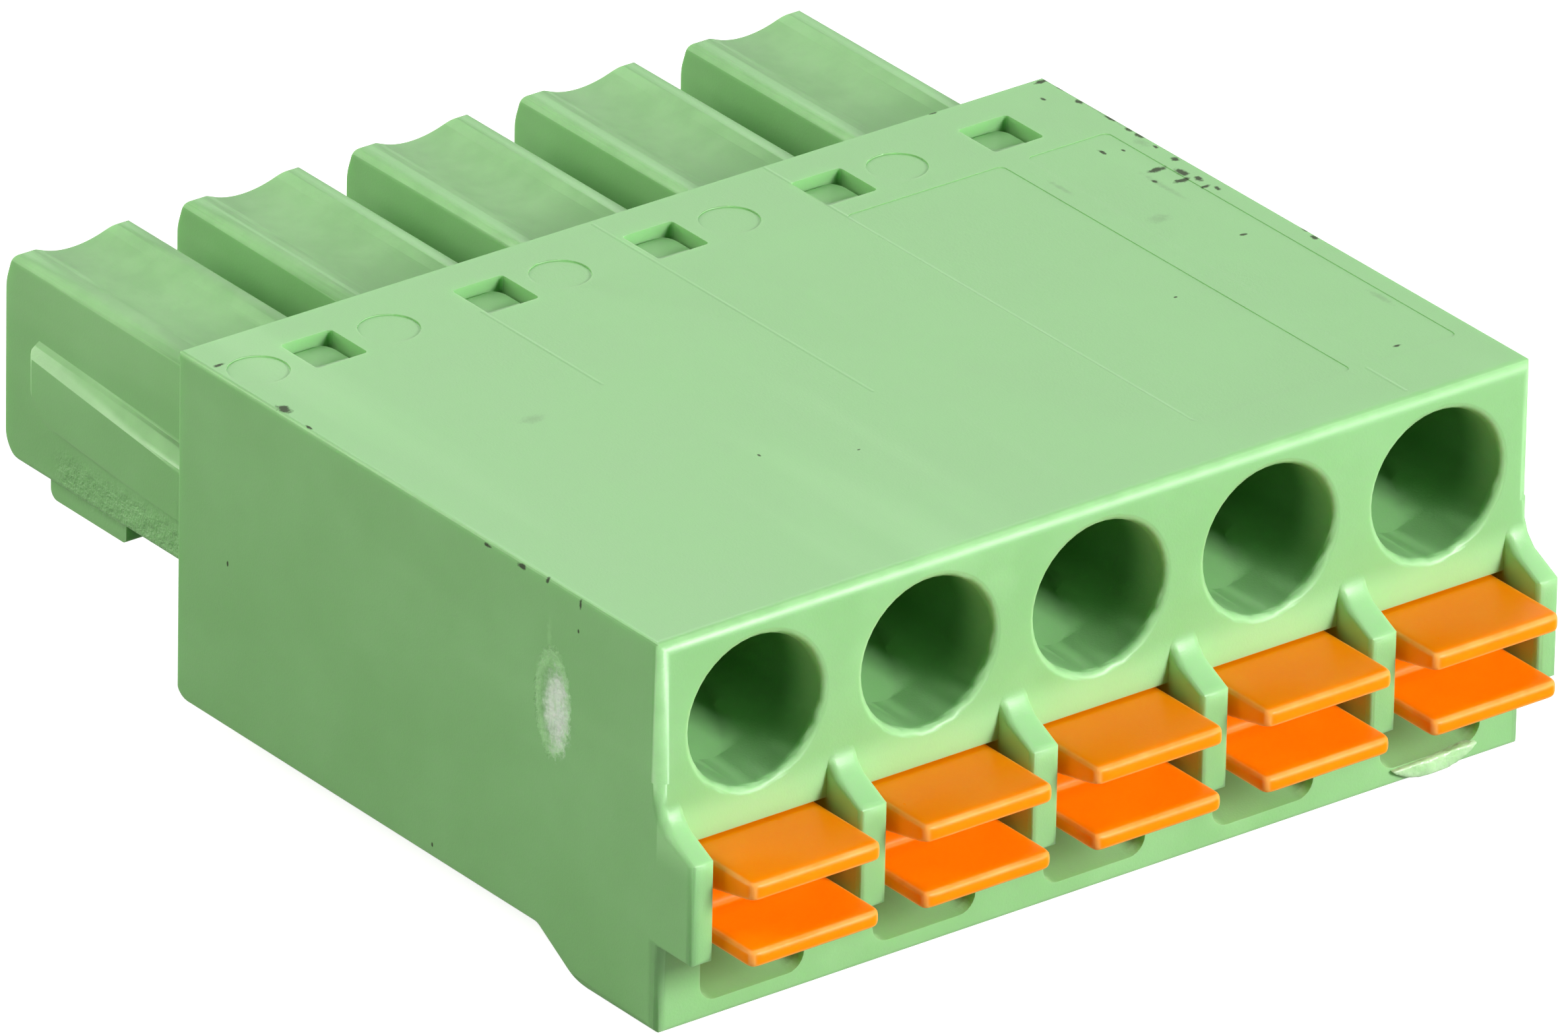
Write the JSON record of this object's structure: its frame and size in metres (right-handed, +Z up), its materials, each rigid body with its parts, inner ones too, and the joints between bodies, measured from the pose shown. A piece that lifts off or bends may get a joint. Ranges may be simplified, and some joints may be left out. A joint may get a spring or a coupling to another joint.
{
  "type": "pluggable terminal block",
  "caption": "Pluggable terminal block with round wire entries, orange release levers and a row of socket fingers that plugs onto a pin header.",
  "frame": {"origin": "bottom centre of the block's box", "axes": "+X along the row of poles, +Y from the wire side to the plug side, +Z up, with the flat top face up"},
  "size_m": [0.0196, 0.0224, 0.0077],
  "materials": {
    "green_polyamide": "fine satin moulding",
    "orange_lever": "smooth moulding",
    "spring_steel": "cold rolled strip",
    "tinned_copper": "tin plated strip"
  },
  "bodies": {
    "block": {"housing": "green_polyamide", "plug_nose": "green_polyamide", "clamp_spring_1": "spring_steel", "clamp_spring_2": "spring_steel", "clamp_spring_3": "spring_steel", "clamp_spring_4": "spring_steel", "clamp_spring_5": "spring_steel", "contact_1": "tinned_copper", "contact_2": "tinned_copper", "contact_3": "tinned_copper", "contact_4": "tinned_copper", "contact_5": "tinned_copper"},
    "lever_1": {"release_lever_1": "orange_lever"},
    "lever_2": {"release_lever_2": "orange_lever"},
    "lever_3": {"release_lever_3": "orange_lever"},
    "lever_4": {"release_lever_4": "orange_lever"},
    "lever_5": {"release_lever_5": "orange_lever"}
  },
  "joints": [
    {"name": "lever_1_press", "type": "slide", "parent": "block", "child": "lever_1", "axis": [0, 1, 0], "range_m": [0, 0.001], "stiffness_N_per_m": 2000, "springref_m": -0.0005, "deforming": ["clamp_spring_1"]},
    {"name": "lever_2_press", "type": "slide", "parent": "block", "child": "lever_2", "axis": [0, 1, 0], "range_m": [0, 0.001], "stiffness_N_per_m": 2000, "springref_m": -0.0005, "deforming": ["clamp_spring_2"]},
    {"name": "lever_3_press", "type": "slide", "parent": "block", "child": "lever_3", "axis": [0, 1, 0], "range_m": [0, 0.001], "stiffness_N_per_m": 2000, "springref_m": -0.0005, "deforming": ["clamp_spring_3"]},
    {"name": "lever_4_press", "type": "slide", "parent": "block", "child": "lever_4", "axis": [0, 1, 0], "range_m": [0, 0.001], "stiffness_N_per_m": 2000, "springref_m": -0.0005, "deforming": ["clamp_spring_4"]},
    {"name": "lever_5_press", "type": "slide", "parent": "block", "child": "lever_5", "axis": [0, 1, 0], "range_m": [0, 0.001], "stiffness_N_per_m": 2000, "springref_m": -0.0005, "deforming": ["clamp_spring_5"]}
  ]
}
